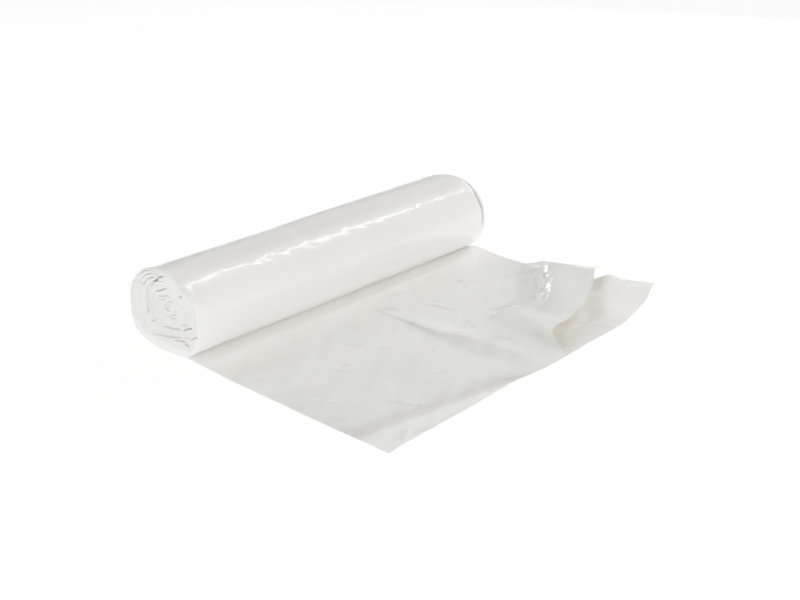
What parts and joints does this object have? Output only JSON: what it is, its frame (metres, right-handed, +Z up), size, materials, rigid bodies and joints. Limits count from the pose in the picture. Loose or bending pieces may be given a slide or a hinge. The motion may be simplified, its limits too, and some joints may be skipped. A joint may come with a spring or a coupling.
{
  "type": "bin bag roll",
  "caption": "Coreless roll of milky plastic bin bags lying on its side, with its first bag pulled out flat and the bag's mouth part open.",
  "frame": {"origin": "on the surface the roll lies on, straight under the roll's axis at the middle of its length", "axes": "+X from the roll towards the mouth of the pulled-out bag, +Y along the roll's axis, +Z up"},
  "size_m": [0.2365, 0.3, 0.06],
  "materials": {
    "film": "milky white polyethylene film, softly glossy and slightly see-through, finely crinkled"
  },
  "bodies": {
    "root": {"bag_roll": "film"}
  },
  "joints": []
}
